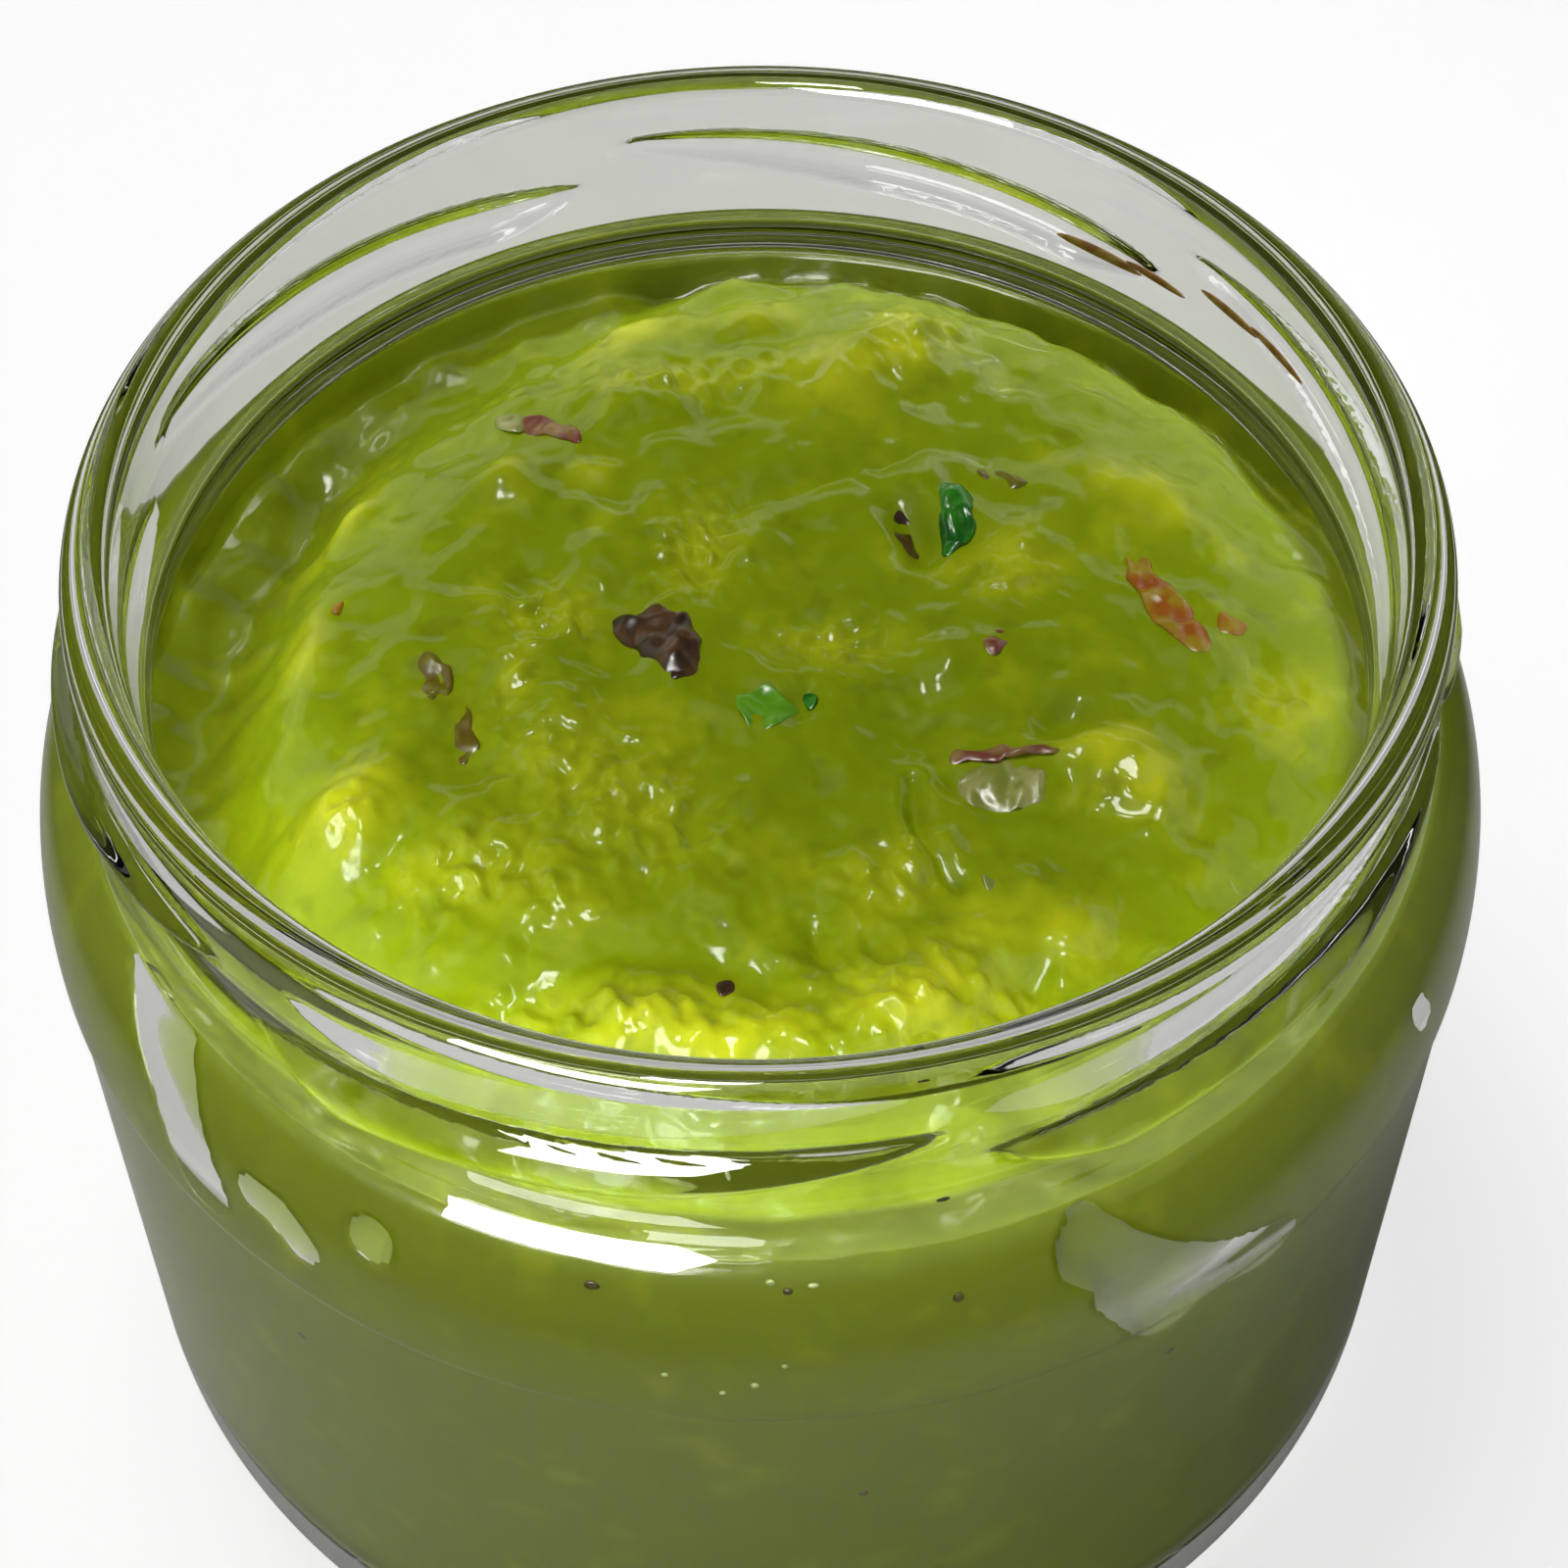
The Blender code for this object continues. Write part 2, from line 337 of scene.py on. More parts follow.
def jar_profile():
    """The whole glass, from the middle of the floor over the lip to the middle of the base."""
    mouth = arc((MOUTH_RADIUS + LIP_ROUND, LIP_TOP - LIP_ROUND), LIP_ROUND, 180, 95)
    wall = inner_wall()
    bore = straight(wall[-1], (MOUTH_RADIUS, LIP_TOP - LIP_ROUND), 0.0008)
    return wall + bore[1:] + mouth + outer_wall()


def input_sockets(tree, sizes):
    """Named inputs on a modifier's tree. Gives back their identifiers."""
    found = {}
    for name, (kind, value) in sizes.items():
        socket = tree.interface.new_socket(name, in_out="INPUT", socket_type=kind)
        if value is not None:
            socket.default_value = value
        found[name] = socket.identifier
    return found


def made_by_nodes(name, start_mesh, tree, values):
    """A plain mesh object from a start mesh and a Geometry Nodes tree with these input values."""
    source = bpy.data.objects.new(name + "_source", start_mesh)
    bpy.context.scene.collection.objects.link(source)
    modifier = source.modifiers.new("Make", "NODES")
    modifier.node_group = tree
    for identifier, value in values.items():
        modifier[identifier] = value
    bpy.context.view_layer.update()
    evaluated = source.evaluated_get(bpy.context.evaluated_depsgraph_get())
    mesh = bpy.data.meshes.new_from_object(evaluated)
    source.modifiers.clear()
    bpy.data.objects.remove(source)
    mesh.name = name
    made = bpy.data.objects.new(name, mesh)
    bpy.context.scene.collection.objects.link(made)
    return made


def glass_finish():
    """Clear soda-lime glass. Lamps shine through it, but each surface passes only about three quarters of their
    light, a little green: a darker shadow than thin clear glass gives, which stands in for the light that the thick
    glass bends away.
    """
    made, graph, surface = new_material("clear_glass")
    place = graph.node("ShaderNodeTexCoord", out="Object")
    flow = graph.node("ShaderNodeMapping", inputs={"Vector": place, "Scale": (90, 90, 260)})
    ripple = graph.node(
        "ShaderNodeTexNoise", inputs={"Vector": flow, "Scale": 1.0, "Detail": 2.0}
    )
    bump = graph.node(
        "ShaderNodeBump",
        inputs={"Strength": 0.06, "Distance": 0.0002, "Height": ripple},
    )
    glass = graph.node(
        "ShaderNodeBsdfPrincipled",
        inputs={
            "Base Color": (0.965, 0.98, 0.97, 1),
            "Roughness": 0.0,
            "IOR": 1.5,
            "Transmission Weight": 1.0,
            "Normal": bump,
        },
    )
    # painted shade: the lamps' light through each glass surface is cut to about three quarters, for the shade
    # behind the thick glass
    clear = graph.node("ShaderNodeBsdfTransparent", inputs={"Color": (0.74, 0.78, 0.74, 1)})
    lamp_ray = graph.node("ShaderNodeLightPath", out="Is Shadow Ray")
    graph.join(graph.node("ShaderNodeMixShader", inputs={0: lamp_ray, 1: glass, 2: clear}), surface)
    return made


def jar_tree(rows, finish):
    """Turns a profile round the jar's axis and raises the lid lugs on the neck."""
    tree = bpy.data.node_groups.new("jar_glass", "GeometryNodeTree")
    tree.interface.new_socket("Geometry", in_out="OUTPUT", socket_type="NodeSocketGeometry")
    sizes = {
        "Profile": ("NodeSocketGeometry", None),
        "Sides": ("NodeSocketInt", JAR_SIDES),
        "Lugs": ("NodeSocketInt", 6),
        "Lug arc": ("NodeSocketFloat", math.radians(54.5)),
        "First lug start": ("NodeSocketFloat", math.radians(-131)),
        "Lug top": ("NodeSocketFloat", LIP_TOP - 0.0049),
        "Lug drop": ("NodeSocketFloat", 0.0029),
        "Lug half height": ("NodeSocketFloat", 0.00185),
        "Lug proud": ("NodeSocketFloat", 0.0016),
    }
    sockets = input_sockets(tree, sizes)
    graph = Graph(tree)
    source = graph.node("NodeGroupInput", out="Profile")
    sheet = graph.node(
        "GeometryNodeMeshGrid",
        inputs={
            "Size X": 1.0,
            "Size Y": 1.0,
            "Vertices X": rows,
            "Vertices Y": source.other("Sides") + 1,
        },
        out="Mesh",
    )
    place = graph.node("ShaderNodeSeparateXYZ", inputs={0: graph.node("GeometryNodeInputPosition")})
    row = (place.other("X") + 0.5) * (rows - 1)
    turn = (place.other("Y") + 0.5) * math.tau
    point = graph.node(
        "GeometryNodeSampleIndex",
        {"data_type": "FLOAT_VECTOR", "domain": "POINT", "clamp": True},
        {
            "Geometry": source,
            "Value": graph.node("GeometryNodeInputPosition"),
            "Index": graph.node("FunctionNodeFloatToInt", {"rounding_mode": "ROUND"}, {0: row}),
        },
    )
    spot = graph.node("ShaderNodeSeparateXYZ", inputs={0: point})
    radius, height = spot.other("X"), spot.other("Z")
    # along runs from 0 at a lug's low blunt end to 1 at its high end, which thins to a point
    spacing = math.tau / source.other("Lugs")
    along = ((turn - source.other("First lug start")) % spacing) / source.other("Lug arc")
    thin_ends = (along / 0.16).clamped() * ((1 - along) / 0.42).clamped()
    swell = thin_ends ** 0.5
    top = source.other("Lug top") - source.other("Lug drop") * (1 - along).clamped() ** 1.8
    half_height = source.other("Lug half height") * (swell * 0.95 + 0.05)
    offset = (height - (top - half_height)) / half_height
    crown = 1 - (offset * offset).clamped()
    on_outside = radius.smooth(LIP_RADIUS - 0.0004, LIP_RADIUS - 0.0003)
    raised = source.other("Lug proud") * swell * crown ** 0.8 * on_outside
    reach = radius + raised
    turned = graph.node(
        "ShaderNodeCombineXYZ",
        inputs={
            "X": reach * graph.node("ShaderNodeMath", {"operation": "COSINE"}, {0: turn}),
            "Y": reach * graph.node("ShaderNodeMath", {"operation": "SINE"}, {0: turn}),
            "Z": height,
        },
    )
    placed = graph.node("GeometryNodeSetPosition", inputs={"Geometry": sheet, "Position": turned})
    closed = graph.node(
        "GeometryNodeMergeByDistance", inputs={"Geometry": placed, "Distance": 0.000002}
    )
    smooth = graph.node("GeometryNodeSetShadeSmooth", inputs={"Geometry": closed})
    real = graph.node("GeometryNodeRealizeInstances", inputs={"Geometry": smooth})
    finished = graph.node(
        "GeometryNodeSetMaterial", inputs={"Geometry": real, "Material": finish}
    )
    output = tree.nodes.new("NodeGroupOutput")
    graph.join(finished, output.inputs["Geometry"])
    return tree, sockets


profile = jar_profile()
profile_mesh = bpy.data.meshes.new("jar_profile")
edges = [(i, i + 1) for i in range(len(profile) - 1)]
profile_mesh.from_pydata([(r, 0, z) for r, z in profile], edges, [])
clear_glass = glass_finish()
tree, sockets = jar_tree(len(profile), clear_glass)
glass_jar = made_by_nodes("glass_jar", profile_mesh, tree, {sockets["Sides"]: JAR_SIDES})
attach(glass_jar, "root")
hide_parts("jar")


# The guacamole. Avocado mashed to a smooth wet paste and spooned in, so that it stands in a
# mound with a hollow along the left, folds where the spoon turned, and soft bright lumps.
MM = 0.001
FILL_LEVEL = LIP_TOP - 0.0160
GLASS_BITE = 0.00015  # how far the paste reaches into the glass, where they touch
DIP_SIDES = 540
DIP_RINGS = 128


def glass_radius(height):
    """The radius of the inside of the glass at a height above its heel."""
    upright = np.array([point for point in inner_wall() if point[1] > HEEL_ROUND * 2])
    return np.interp(height, upright[:, 1], upright[:, 0])


def bell(distance, width):
    return np.exp(-((distance / width) ** 2))


def blob(x, y, at, width, length=None, turn=0.0):
    """A soft round or long spot, 1 in its middle. Places and sizes in mm, turn in degrees."""
    c, s = math.cos(math.radians(turn)), math.sin(math.radians(turn))
    dx, dy = x - at[0], y - at[1]
    return np.exp(-(((dx * c + dy * s) / (length or width)) ** 2) - ((dy * c - dx * s) / width) ** 2)


def waves(x, y, size, seed, count=36):
    """Smooth uneven ripples of about this size in mm, from -1 to 1 or so."""
    rng = np.random.default_rng(seed)
    total = np.zeros_like(x)
    for _ in range(count):
        angle = rng.uniform(0, math.tau)
        pace = math.tau / (size * rng.uniform(0.7, 1.5))
        total += np.sin((x * math.cos(angle) + y * math.sin(angle)) * pace + rng.uniform(0, math.tau))
    return total / math.sqrt(count)


def stroke(x, y, points, width):
    """A soft ridge or furrow along a line of points, 1 on the line."""
    best = np.full_like(x, 1e9)
    for (ax, ay), (bx, by) in zip(points, points[1:]):
        length = (bx - ax) ** 2 + (by - ay) ** 2
        share = np.clip(((x - ax) * (bx - ax) + (y - ay) * (by - ay)) / length, 0, 1)
        best = np.minimum(best, np.hypot(x - ax - share * (bx - ax), y - ay - share * (by - ay)))
    return bell(best, width)


LUMPS = (  # place, width, length, turn, height, all in mm and degrees
    ((9.0, 25.0), 3.0, 4.5, 60, 1.8),
    ((5.0, 22.0), 3.5, 5.0, 20, 1.0),
    ((-8.5, 28.0), 2.4, 3.2, 0, 1.4),
    ((0.0, 28.5), 2.2, 3.0, 0, 0.9),
    ((-22.8, -12.0), 2.6, 3.4, 40, 1.5),
    ((-26.6, 0.8), 1.6, 3.0, 90, 1.0),
    ((-25.3, 13.5), 1.3, 2.6, 55, 1.3),
    ((-15.2, 13.2), 1.6, 2.2, 80, 0.8),
    ((-10.0, 13.6), 1.5, 1.7, 0, 0.8),
    ((21.0, -9.5), 2.6, 3.8, -40, 1.5),
    ((23.0, 12.0), 2.6, 4.5, -35, 1.0),
    ((31.0, -3.5), 2.0, 3.5, 50, 0.9),
    ((-3.0, -27.0), 2.2, 8.0, 0, 1.5),
    ((9.0, -25.0), 3.0, 5.5, 15, 1.4),
    ((12.5, -20.0), 2.4, 3.6, 30, 0.9),
    ((17.0, -20.5), 2.6, 3.0, 0, 0.9),
    ((7.5, -17.5), 1.8, 3.6, 50, 0.8),
    ((-12.0, -15.0), 4.0, 6.0, -30, 0.5),
    ((15.0, 6.0), 3.0, 4.0, 20, 0.7),
)
HOLLOWS = (  # place, width, length, turn, depth
    ((9.2, 8.6), 1.3, 2.4, -65, 1.9),
    ((1.5, 26.5), 1.3, 2.6, 20, 1.0),
    ((15.0, -23.5), 1.0, 2.4, 70, 1.2),
    ((17.5, -6.2), 1.2, 2.6, 10, 0.7),
    ((24.8, -11.5), 0.9, 2.6, 75, 0.9),
    ((-12.0, 8.0), 2.0, 5.0, 80, 0.5),
    ((2.7, -4.6), 0.8, 1.4, 60, 0.5),
    ((14.0, -14.0), 2.4, 5.0, 0, 0.6),
)
FURROWS = (  # points along each, width, depth
    (((8.6, -10.5), (8.6, -13.0), (9.4, -15.5), (11.0, -17.5)), 0.55, 0.8),
    (((10.5, -10.6), (13.0, -12.2), (16.5, -12.0), (18.0, -9.5)), 0.9, 0.5),
    (((7.0, 14.0), (10.0, 15.3), (13.5, 15.2)), 0.7, 0.3),
    (((-26.5, -19.0), (-22.0, -22.5), (-17.0, -24.0)), 1.2, 0.5),
    (((3.0, -20.0), (3.5, -22.5), (5.5, -24.5)), 0.6, 0.5),
)
ROUGH = (  # where the surface is broken up finely: place, width, length, turn
    ((-3.5, 7.0), 2.6, 4.0, 80),
    ((-12.0, 2.0), 2.2, 3.5, 0),
    ((-8.0, -11.0), 3.5, 7.0, -45),
    ((-15.0, -16.5), 2.5, 4.5, -20),
    ((7.5, -17.5), 2.4, 4.0, 50),
    ((-6.0, -25.5), 1.8, 9.0, 0),
    ((9.0, -24.5), 3.5, 6.5, 10),
    ((9.0, 25.0), 2.5, 4.0, 50),
    ((-5.0, 22.0), 2.0, 6.0, 0),
    ((21.0, -11.5), 1.2, 3.5, -40),
    ((30.0, -3.0), 1.8, 3.0, 40),
    ((4.5, -0.5), 1.8, 4.0, 0),
    ((-23.0, -12.5), 1.8, 2.2, 40),
    ((-14.0, -3.0), 1.2, 2.6, 80),
    ((14.5, 5.0), 2.0, 3.0, 0),
)


def surface_height(x, y):
    """The height of the paste's surface in metres, at places in mm."""
    radius, angle = np.hypot(x, y), np.degrees(np.arctan2(y, x))
    edge = 38.0
    rise = 5.0 * (1 - (radius / edge) ** 4)
    left = np.abs((angle - 172 + 180) % 360 - 180)
    rise -= 5.4 * bell(radius - 33.0, 4.4) * bell(left, 52)
    terrace = 1 / (1 + np.exp(-((-x * 0.80 + y * 0.60) - 22.5) / 1.1))
    rise -= 1.6 * terrace * (radius < 40)
    back = np.abs((angle - 52 + 180) % 360 - 180)
    rise -= 3.6 * bell(radius - 37.5, 2.6) * bell(back, 42)
    for at, width, length, turn, height in LUMPS:
        rise += height * blob(x, y, at, width, length, turn)
    for at, width, length, turn, depth in HOLLOWS:
        rise -= depth * blob(x, y, at, width, length, turn)
    for points, width, depth in FURROWS:
        rise -= depth * stroke(x, y, points, width)
    rough = np.zeros_like(x)
    for at, width, length, turn in ROUGH:
        rough = np.maximum(rough, blob(x, y, at, width, length, turn))
    rise += 0.34 * waves(x, y, 9.0, 3) + 0.20 * waves(x, y, 4.5, 5)
    rise += (0.06 + 0.16 * rough) * waves(x, y, 2.4, 7)
    crumbs = np.clip(waves(x, y, 1.5, 11), -0.6, 1.6)
    rise += (0.03 + rough * 0.30) * crumbs
    return FILL_LEVEL + rise * MM


def painted_highlight_paleness(x, y):
    """Where the surface is painted paler, a painted highlight where the lumps and the broken patches catch the
    light and the wet glints. 0 to 1.
    """
    pale = np.zeros_like(x)
    for at, width, length, turn, height in LUMPS:
        pale = np.maximum(pale, min(1.0, height * 0.75) * blob(x, y, at, width * 0.9, length * 0.9, turn))
    for at, width, length, turn in ROUGH:
        pale = np.maximum(pale, 0.55 * blob(x, y, at, width, length, turn))
    return np.clip(pale + 0.25 * pale * waves(x, y, 3.0, 41), 0, 1)


POCKETS = (  # air left against the glass: (azimuth, depth under the lip) along it, width, depth
    (((-74, 12.8), (-64, 13.6), (-57, 15.6), (-51, 18.8), (-46.5, 23.2)), 1.7, 1.3),
    (((-41, 20.8), (-38, 21.0), (-35.8, 22.2)), 0.75, 1.0),
    (((-30.2, 19.0), (-29.6, 19.1)), 0.95, 0.8),
    (((25.5, 18.3), (30, 21.3), (36, 24.2), (42, 26.0)), 1.7, 1.3),
    (((28.5, 21.5), (32, 25.6)), 1.9, 1.3),
    (((62, 20.6), (62.6, 21.6)), 0.6, 0.9),
)
DEGREE_MM = 0.72  # one degree round the shoulder, in mm


def side_dent(azimuth, height):
    """How far the side of the paste lies in from the glass, in metres."""
    across, down = azimuth * DEGREE_MM, (LIP_TOP - height) / MM
    dent = np.zeros_like(azimuth)
    for line, width, depth in POCKETS:
        nearest = np.full_like(azimuth, 1e9)
        for (a0, d0), (a1, d1) in zip(line, line[1:]):
            u, v = (a1 - a0) * DEGREE_MM, d1 - d0
            du, dv = across - a0 * DEGREE_MM, down - d0
            share = np.clip((du * u + dv * v) / (u * u + v * v), 0, 1)
            nearest = np.minimum(nearest, np.hypot(du - share * u, dv - share * v))
        dent = np.maximum(dent, depth * np.clip((width - nearest) / 0.6 + 0.5, 0, 1))
    return dent * MM


def paste_mesh():
    """The surface, the side against the glass and the bottom, as one closed mesh."""
    turns = np.arange(DIP_SIDES) * math.tau / DIP_SIDES
    rows = []
    edge_height = FILL_LEVEL + 0.0 * turns
    edge_radius = glass_radius(edge_height) + GLASS_BITE
    for ring in range(1, DIP_RINGS + 1):
        share = ring / DIP_RINGS
        reach = edge_radius * share
        x, y = reach * np.cos(turns), reach * np.sin(turns)
        height = surface_height(x / MM, y / MM)
        settle = np.clip((1 - share) / 0.03, 0, 1)
        rows.append(np.stack([x, y, edge_height + (height - edge_height) * settle], 1))
    floor = PUSH_UP + BASE_THICKNESS - GLASS_BITE
    line = [(r, z) for r, z in inner_wall() if z < FILL_LEVEL - 0.0004 and r > 0.034][::-1]
    dense = []
    for (r0, z0), (r1, z1) in zip(line, line[1:]):
        spacing = 0.0005 if z0 > 0.041 else 0.002
        count = max(1, round(math.dist((r0, z0), (r1, z1)) / spacing))
        dense += [(r0 + (r1 - r0) * k / count, z0 + (z1 - z0) * k / count) for k in range(count)]
    for reach, height in dense:
        azimuth = np.degrees(turns) + 90
        azimuth = (azimuth + 180) % 360 - 180
        out = reach + GLASS_BITE - side_dent(azimuth, np.full_like(turns, height))
        low = height - (GLASS_BITE if height < 0.008 else 0)
        rows.append(np.stack([out * np.cos(turns), out * np.sin(turns), np.full_like(turns, low)], 1))
    centre_top = [(0, 0, float(surface_height(np.zeros(1), np.zeros(1))[0]))]
    points = np.concatenate([np.array(centre_top), *rows, np.array([[0, 0, floor]])])
    faces = []
    for k in range(DIP_SIDES):
        faces.append((0, 1 + k, 1 + (k + 1) % DIP_SIDES))
    for r in range(len(rows) - 1):
        a, b = 1 + r * DIP_SIDES, 1 + (r + 1) * DIP_SIDES
        for k in range(DIP_SIDES):
            n = (k + 1) % DIP_SIDES
            faces.append((a + k, b + k, b + n, a + n))
    last = 1 + (len(rows) - 1) * DIP_SIDES
    bottom = len(points) - 1
    for k in range(DIP_SIDES):
        faces.append((last + k, bottom, last + (k + 1) % DIP_SIDES))
    mesh = bpy.data.meshes.new("guacamole_paste")
    mesh.from_pydata(points.tolist(), [], faces)
    mesh.shade_smooth()
    on_top = np.arange(len(points)) <= DIP_RINGS * DIP_SIDES
    # painted highlight: the lumps and broken patches are coloured paler where they catch the light and glints
    pale = np.where(on_top, painted_highlight_paleness(points[:, 0] / MM, points[:, 1] / MM), 0)
    mesh.attributes.new("pale", "FLOAT", "POINT").data.foreach_set("value", pale.astype(np.float32))
    reach, turn = np.hypot(points[:, 0], points[:, 1]) / MM, np.arctan2(points[:, 1], points[:, 0])
    left = np.abs((np.degrees(turn) - 172 + 180) % 360 - 180)
    # painted shade: darker colour in the trough along the left, and against the glass, where it is partly the wet
    # contact and partly painted shade
    pressed = np.maximum((reach - 33.5) / 1.5, 1.3 * bell(reach - 34.5, 4.5) * bell(left, 52))
    pressed = np.where(on_top, np.clip(pressed, 0, 1) * (1 - 0.8 * pale), 1)
    mesh.attributes.new("pressed", "FLOAT", "POINT").data.foreach_set(
        "value", pressed.astype(np.float32)
    )
    return mesh


PASTE_MID = (0.195, 0.268, 0.0006, 1)
# paler paste, used for random paler tone and for the painted highlight on lumps and broken patches
PASTE_PALE_AND_HIGHLIGHT = (0.46, 0.50, 0.008, 1)
PASTE_DARK = (0.115, 0.150, 0.0008, 1)
# darker paste for the left trough, which is painted shade, and for paste against the glass, partly wet contact and
# partly painted shade
PASTE_CONTACT_AND_SHADE = (0.098, 0.122, 0.0008, 1)


def paste_finish():
    """Mashed avocado, wet: yellow-green, with random paler and darker tone. It is painted paler on its lumps and
    broken patches, a painted highlight, and darker against the glass and in the trough along the left, from an
    attribute on the mesh: in the trough that is painted shade, and against the glass it is partly the wet contact
    and partly painted shade."""
    made, graph, surface = new_material("guacamole_paste")
    place = graph.node("ShaderNodeTexCoord", out="Object")
    broad = graph.node("ShaderNodeTexNoise", inputs={"Vector": place, "Scale": 230.0, "Detail": 3.0})
    fine = graph.node("ShaderNodeTexNoise", inputs={"Vector": place, "Scale": 420.0, "Detail": 2.0})
    pale = graph.node("ShaderNodeAttribute", {"attribute_name": "pale"}, out="Fac")
    pressed = graph.node("ShaderNodeAttribute", {"attribute_name": "pressed"}, out="Fac")
    light = (broad.smooth(0.52, 0.75) * (0.30 - pressed * 0.2) + pale).clamped()
    dark = fine.smooth(0.56, 0.75) * 0.40
    # painted shade: the paste is mixed toward the darker colour in the left trough and against the glass
    colour = graph.node(
        "ShaderNodeMix",
        {"data_type": "RGBA"},
        {"Factor": pressed, 6: PASTE_MID, 7: PASTE_CONTACT_AND_SHADE},
        out=2,
    )
    # painted highlight on the lumps and broken patches; the noise part is random paler tone
    colour = graph.node(
        "ShaderNodeMix", {"data_type": "RGBA"}, {"Factor": light, 6: colour, 7: PASTE_PALE_AND_HIGHLIGHT}, out=2
    )
    colour = graph.node(
        "ShaderNodeMix", {"data_type": "RGBA"}, {"Factor": dark, 6: colour, 7: PASTE_DARK}, out=2
    )
    wet = graph.node("ShaderNodeTexNoise", inputs={"Vector": place, "Scale": 210.0, "Detail": 2.0})
    roughness = wet.smooth(0.35, 0.7) * 0.20 + 0.45
    bump = graph.node(
        "ShaderNodeBump", inputs={"Strength": 0.20, "Distance": 0.0003, "Height": fine}
    )
    paste = graph.node(
        "ShaderNodeBsdfPrincipled",
        inputs={
            "Base Color": colour,
            "Roughness": roughness,
            "Specular IOR Level": 0.05,
            "Subsurface Weight": 0.05,
            "Subsurface Radius": (1.0, 1.0, 0.3),
            "Subsurface Scale": 0.001,
            "Coat Weight": 0.45,
            "Coat Roughness": 0.12,
            "Normal": bump,
        },
    )
    graph.join(paste, surface)
    return made


paste = bpy.data.objects.new("guacamole_paste", paste_mesh())
bpy.context.scene.collection.objects.link(paste)
paste.data.materials.append(paste_finish())
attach(paste, "root")
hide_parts("guacamole")


# The bits. Pieces of purple onion, tomato and green pepper, and darker scraps of skin, cut by
# hand and stirred in. Each is a rounded chunk that lies half sunk in the surface.
OVERSIZE = 1.22  # subdivision draws a cage in by about this much


def chunk(corners, height, lift=0.0):
    """A rounded piece over these corners, in mm, laid on the surface. Gives points and faces."""
    middle = np.mean(corners, axis=0)
    rings = []
    for inset, level in ((0.85, -0.7), (1.0, 0.0), (0.72, 0.75)):
        spread = inset * OVERSIZE
        rings.append([(*(middle + (np.array(c) - middle) * spread), level * height) for c in corners])
    points = [(*middle, -height * 0.8)] + [p for ring in rings for p in ring] + [(*middle, height)]
    n = len(corners)
    faces = [(0, 1 + (k + 1) % n, 1 + k) for k in range(n)]
    for ring in range(2):
        a, b = 1 + ring * n, 1 + (ring + 1) * n
        faces += [(a + k, a + (k + 1) % n, b + (k + 1) % n, b + k) for k in range(n)]
    last, top = 1 + 2 * n, 1 + 3 * n
    faces += [(last + k, last + (k + 1) % n, top) for k in range(n)]
    return points, faces, lift


def laid_bits(name, chunks, finish):
    """One piece of all the chunks of a kind, rounded by subdivision and draped on the paste."""
    points, faces = [], []
    for made_points, made_faces, lift in chunks:
        start = len(points)
        points += [(x, y, z + lift) for x, y, z in made_points]
        faces += [tuple(start + i for i in face) for face in made_faces]
    mesh = bpy.data.meshes.new(name)
    mesh.from_pydata(points, [], faces)
    rough = bpy.data.objects.new(name, mesh)
    bpy.context.scene.collection.objects.link(rough)
    rounding = rough.modifiers.new("Round", "SUBSURF")
    rounding.levels = rounding.render_levels = 3
    evaluated = rough.evaluated_get(bpy.context.evaluated_depsgraph_get())
    final = bpy.data.meshes.new_from_object(evaluated)
    rough.modifiers.clear()
    rough.data = final
    place = np.empty(len(final.vertices) * 3)
    final.vertices.foreach_get("co", place)
    place = place.reshape(-1, 3)
    x, y, level = place.T
    wobble = 0.16 * waves(x, y, 1.6, 23)
    x, y = x + 0.18 * waves(x, y, 2.4, 29), y + 0.18 * waves(y, x, 2.0, 31)
    height = surface_height(x, y) + (level * 0.55 + wobble - 0.04) * MM
    placed = np.stack([x * MM, y * MM, height], 1)
    final.vertices.foreach_set("co", placed.ravel())
    final.shade_smooth()
    final.update()
    final.materials.append(finish)
    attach(rough, "root")
    return rough


def bit_finish(name, flesh, edge, roughness=0.3, scale=700.0):
    """Wet cut vegetable: two close colours in streaks, with a soft shine."""
    made, graph, surface = new_material(name)
    place = graph.node("ShaderNodeTexCoord", out="Object")
    streak = graph.node("ShaderNodeTexNoise", inputs={"Vector": place, "Scale": scale, "Detail": 3.0})
    colour = graph.node(
        "ShaderNodeMix",
        {"data_type": "RGBA"},
        {"Factor": streak.smooth(0.4, 0.62), 6: (*flesh, 1), 7: (*edge, 1)},
        out=2,
    )
    bump = graph.node("ShaderNodeBump", inputs={"Strength": 0.2, "Distance": 0.0002, "Height": streak})
    wet = graph.node(
        "ShaderNodeBsdfPrincipled",
        inputs={
            "Base Color": colour,
            "Roughness": roughness,
            "Subsurface Weight": 0.15,
            "Subsurface Radius": (1.0, 0.6, 0.5),
            "Subsurface Scale": 0.001,
            "Normal": bump,
        },
    )
    graph.join(wet, surface)
    return made


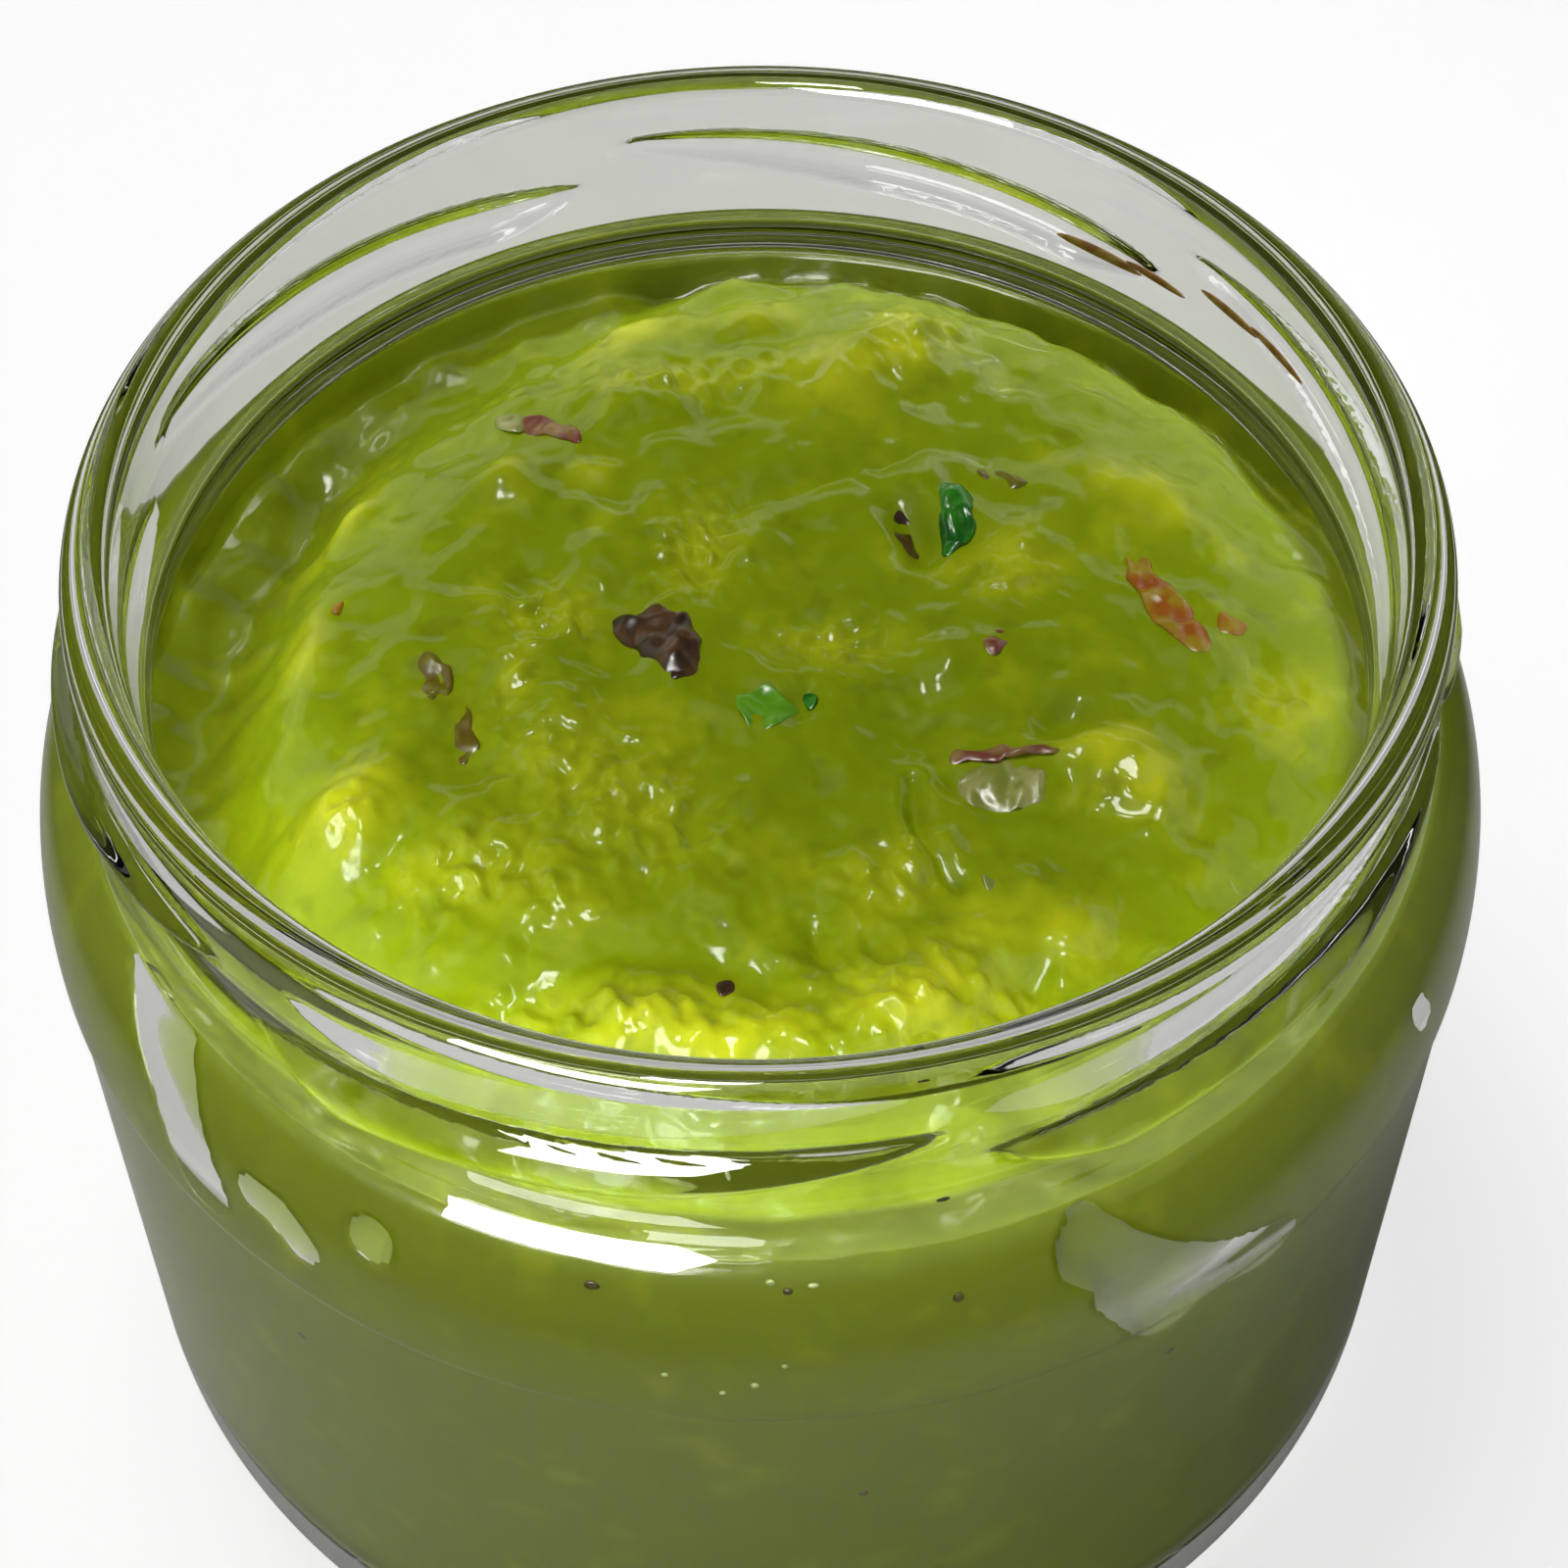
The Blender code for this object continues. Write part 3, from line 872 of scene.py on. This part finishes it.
ONION = (
    chunk(((10.2, -8.6), (12.5, -8.2), (15.0, -8.0), (17.2, -8.2), (15.0, -8.8), (12.5, -9.2)), 0.45, 0.25),
    chunk(((-14.4, 20.0), (-12.6, 18.9), (-10.8, 17.2), (-11.2, 16.0), (-13.0, 17.6), (-14.8, 18.9)), 0.5, 0.2),
    chunk(((12.6, -1.6), (14.0, -1.2), (14.8, 0.2), (13.4, 0.6)), 0.3, 0.0),
)
ONION_FLESH = (
    chunk(((11.0, -9.6), (13.5, -9.2), (15.8, -9.4), (16.0, -11.4), (13.5, -12.0), (11.4, -11.4)), 0.5, 0.1),
    chunk(((-17.0, 20.6), (-15.0, 20.6), (-14.4, 19.0), (-16.0, 18.6)), 0.45, 0.1),
    chunk(((11.8, -17.0), (13.2, -17.4), (12.6, -18.3)), 0.3, 0.1),
)
TOMATO = (
    chunk(((21.6, 7.2), (23.2, 6.8), (24.6, 3.6), (26.4, 0.4), (25.0, -0.8), (23.0, 1.6), (22.0, 4.6)), 0.7, 0.15),
    chunk(((26.6, 2.8), (28.2, 2.6), (28.4, 1.4), (27.0, 1.4)), 0.4, 0.0),
    chunk(((-25.5, 4.0), (-24.6, 4.0), (-24.5, 3.1), (-25.5, 3.1)), 0.3, 0.1),
)
PEPPER = (
    chunk(((10.4, 11.6), (12.2, 12.2), (13.0, 9.6), (12.0, 7.2), (10.6, 7.0), (11.0, 9.4)), 0.9, 0.2),
    chunk(((2.2, -4.0), (3.2, -4.2), (3.3, -5.2), (2.4, -5.2)), 0.35, 0.15),
)
PEPPER_FLESH = (
    chunk(((-1.2, -4.2), (0.6, -3.8), (2.0, -4.8), (1.6, -6.4), (0.0, -7.0), (-1.2, -5.8)), 0.4, 0.05),
)
SKIN = (
    chunk(((-9.2, 1.8), (-7.0, 2.2), (-4.6, 1.6), (-3.4, 0.0), (-3.6, -2.4), (-5.0, -3.6), (-6.2, -1.4)), 0.9, 0.1),
    chunk(((-2.2, -23.9), (-1.4, -23.9), (-1.4, -24.6), (-2.2, -24.6)), 0.3, 0.3),
    chunk(((7.6, 10.8), (9.2, 10.2), (9.6, 7.6), (8.4, 7.2)), 0.4, -0.1),
)
BROWNED = (
    chunk(((-19.6, -1.2), (-18.0, -1.2), (-17.4, -3.8), (-18.4, -5.2), (-19.6, -3.6)), 0.45, -0.05),
    chunk(((-17.4, -4.8), (-16.2, -5.0), (-16.0, -8.6), (-17.2, -8.8)), 0.4, -0.05),
    chunk(((12.6, 13.8), (15.4, 13.6), (16.6, 12.2), (14.2, 12.4)), 0.35, -0.1),
)
laid_bits("purple_onion", ONION, bit_finish("onion_skin", (0.16, 0.040, 0.02), (0.24, 0.14, 0.04)))
laid_bits("onion_flesh", ONION_FLESH, bit_finish("onion_flesh", (0.20, 0.23, 0.03), (0.30, 0.30, 0.09)))
laid_bits("tomato", TOMATO, bit_finish("tomato_flesh", (0.30, 0.085, 0.004), (0.30, 0.20, 0.006)))
laid_bits("green_pepper", PEPPER, bit_finish("pepper_skin", (0.010, 0.10, 0.008), (0.03, 0.20, 0.01), 0.2))
laid_bits("pepper_flesh", PEPPER_FLESH, bit_finish("pepper_flesh", (0.10, 0.30, 0.006), (0.13, 0.33, 0.01)))
laid_bits("browned_scraps", BROWNED, bit_finish("browned", (0.12, 0.085, 0.004), (0.15, 0.14, 0.004)))
laid_bits("dark_scraps", SKIN, bit_finish("dark_skin", (0.035, 0.018, 0.008), (0.085, 0.04, 0.012)))


# Specks against the glass. Grains of spice and scraps of skin that the paste presses on the inside of the wall, and
# tiny air bubbles beside them, whose pale reflection is painted on as a colour: flat beads that stand just proud.
SPECKS = (  # azimuth from the front, depth under the lip, half width and half height in mm
    (-12.3, 17.4, 0.42, 0.30),
    (14.9, 13.6, 0.36, 0.34),
    (14.9, 18.4, 0.30, 0.36),
    (2.3, 17.0, 0.26, 0.20),
    (-59, 37.0, 0.42, 0.42),
    (-38, 33.0, 0.30, 0.22),
    (33, 31.0, 0.34, 0.26),
    (8, 36.0, 0.28, 0.30),
    (95, 24.0, 0.40, 0.30),
    (140, 30.0, 0.36, 0.30),
    (-120, 27.0, 0.38, 0.30),
    (-160, 40.0, 0.34, 0.34),
    (170, 21.0, 0.30, 0.26),
)
# air bubbles, whose pale reflection is painted on as colour
BUBBLE_REFLECTIONS = (
    (-6.7, 22.4, 0.20, 0.18),
    (-0.2, 22.9, 0.24, 0.22),
    (2.0, 21.4, 0.18, 0.16),
    (-2.5, 23.6, 0.18, 0.18),
    (1.0, 16.6, 0.24, 0.16),
    (4.2, 16.8, 0.28, 0.12),
    (60, 28.0, 0.22, 0.20),
    (-100, 22.0, 0.24, 0.20),
    (125, 34.0, 0.22, 0.22),
)
SMEARS = (  # left by the spoon on the bore, above the paste
    (143.0, 6.8, 3.2, 0.42),
    (136.0, 6.4, 2.4, 0.30),
    (126.0, 4.9, 2.6, 0.34),
    (118.5, 4.6, 2.8, 0.30),
)
BEAD_DEPTH = 0.12


def beads(name, places, finish, sink=GLASS_BITE):
    """Flat round beads on the inside of the glass, as one piece."""
    ball = bmesh.new()
    bmesh.ops.create_icosphere(ball, subdivisions=3, radius=1.0)
    unit = [v.co.copy() for v in ball.verts]
    unit_faces = [[v.index for v in face.verts] for face in ball.faces]
    ball.free()
    points, faces = [], []
    for azimuth, depth, wide, high in places:
        height = LIP_TOP - depth * MM
        reach = float(glass_radius(np.array([height]))[0]) + sink
        angle = math.radians(azimuth - 90)
        start = len(points)
        for p in unit:
            out = reach + p.x * BEAD_DEPTH * MM
            turn = angle + p.y * wide * MM / reach
            points.append((out * math.cos(turn), out * math.sin(turn), height + p.z * high * MM))
        faces += [[start + i for i in face] for face in unit_faces]
    mesh = bpy.data.meshes.new(name)
    mesh.from_pydata(points, [], faces)
    mesh.shade_smooth()
    mesh.materials.append(finish)
    made = bpy.data.objects.new(name, mesh)
    bpy.context.scene.collection.objects.link(made)
    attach(made, "root")
    return made


beads("wall_specks", SPECKS, bit_finish("speck_skin", (0.030, 0.022, 0.004), (0.06, 0.05, 0.006)))
beads("wall_smears", SMEARS, bit_finish("smear", (0.16, 0.06, 0.012), (0.24, 0.17, 0.03)), 0.0)
# painted reflection: the bubbles are opaque pale beads, coloured for the light that real bubbles reflect
beads("wall_bubbles_painted_reflection", BUBBLE_REFLECTIONS, bit_finish("bubble_painted_reflection", (0.34, 0.38, 0.16), (0.24, 0.30, 0.08), 0.15))
